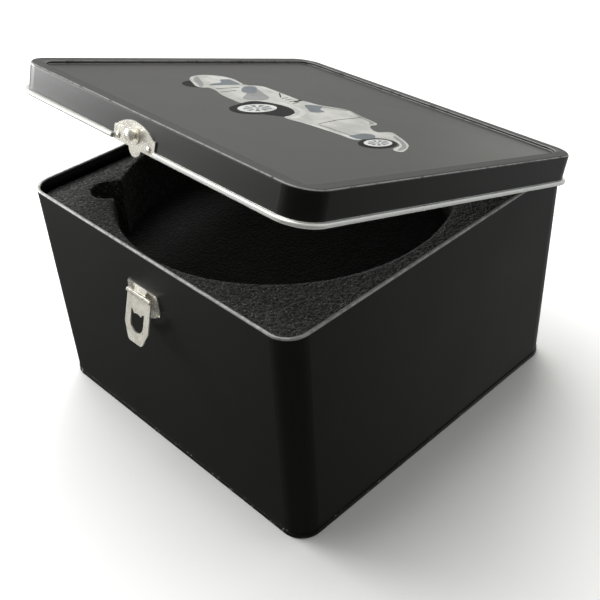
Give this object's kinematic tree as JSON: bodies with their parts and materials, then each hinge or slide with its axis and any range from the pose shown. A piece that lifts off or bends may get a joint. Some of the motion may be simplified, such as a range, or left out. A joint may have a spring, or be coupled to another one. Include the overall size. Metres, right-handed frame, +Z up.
{
  "type": "hinged tin box",
  "caption": "Black tinplate presentation box with a hinged overhanging lid, wire-curled lid edge, hasp latch and a foam insert with a round recess",
  "frame": {"origin": "middle of the face the box stands on", "axes": "+Z up, -Y front with the latch, +X to the right seen from the front"},
  "size_m": [0.2068, 0.2206, 0.1924],
  "materials": {
    "black_tin": "black satin lacquer on tinplate",
    "nickel": "nickel-plated steel, lightly worn",
    "bright_steel": "bright tin-plated steel",
    "foam": "matt dark grey open-cell foam"
  },
  "bodies": {
    "base": {"base_shell": "black_tin", "bottom_panel": "black_tin", "foam_block": "foam", "foam_cutout": "foam", "hinge_strap_left": "bright_steel", "hinge_strap_right": "bright_steel", "hinge_wire": "bright_steel", "strap_rivet_left_a": "bright_steel", "strap_rivet_left_b": "bright_steel", "strap_rivet_right_a": "bright_steel", "strap_rivet_right_b": "bright_steel", "latch_plate_lower": "nickel", "plate_rivet_lower_left": "nickel", "plate_rivet_lower_right": "nickel", "latch_pin": "nickel"},
    "lid": {"lid_shell": "black_tin", "latch_plate_upper": "nickel", "latch_tongue": "nickel", "latch_stud": "nickel", "plate_rivet_upper_left": "nickel", "plate_rivet_upper_right": "nickel"},
    "link": {"latch_link": "nickel"}
  },
  "joints": [
    {"name": "lid_hinge", "type": "hinge", "parent": "base", "child": "lid", "pos_m": [0, 0.10475, 0.1144], "axis": [-1, 0, 0], "range_deg": [-18, 92]},
    {"name": "link_hinge", "type": "hinge", "parent": "base", "child": "link", "pos_m": [-0.0035, -0.1053, 0.102], "axis": [-1, 0, 0], "range_deg": [-16, 164]}
  ]
}
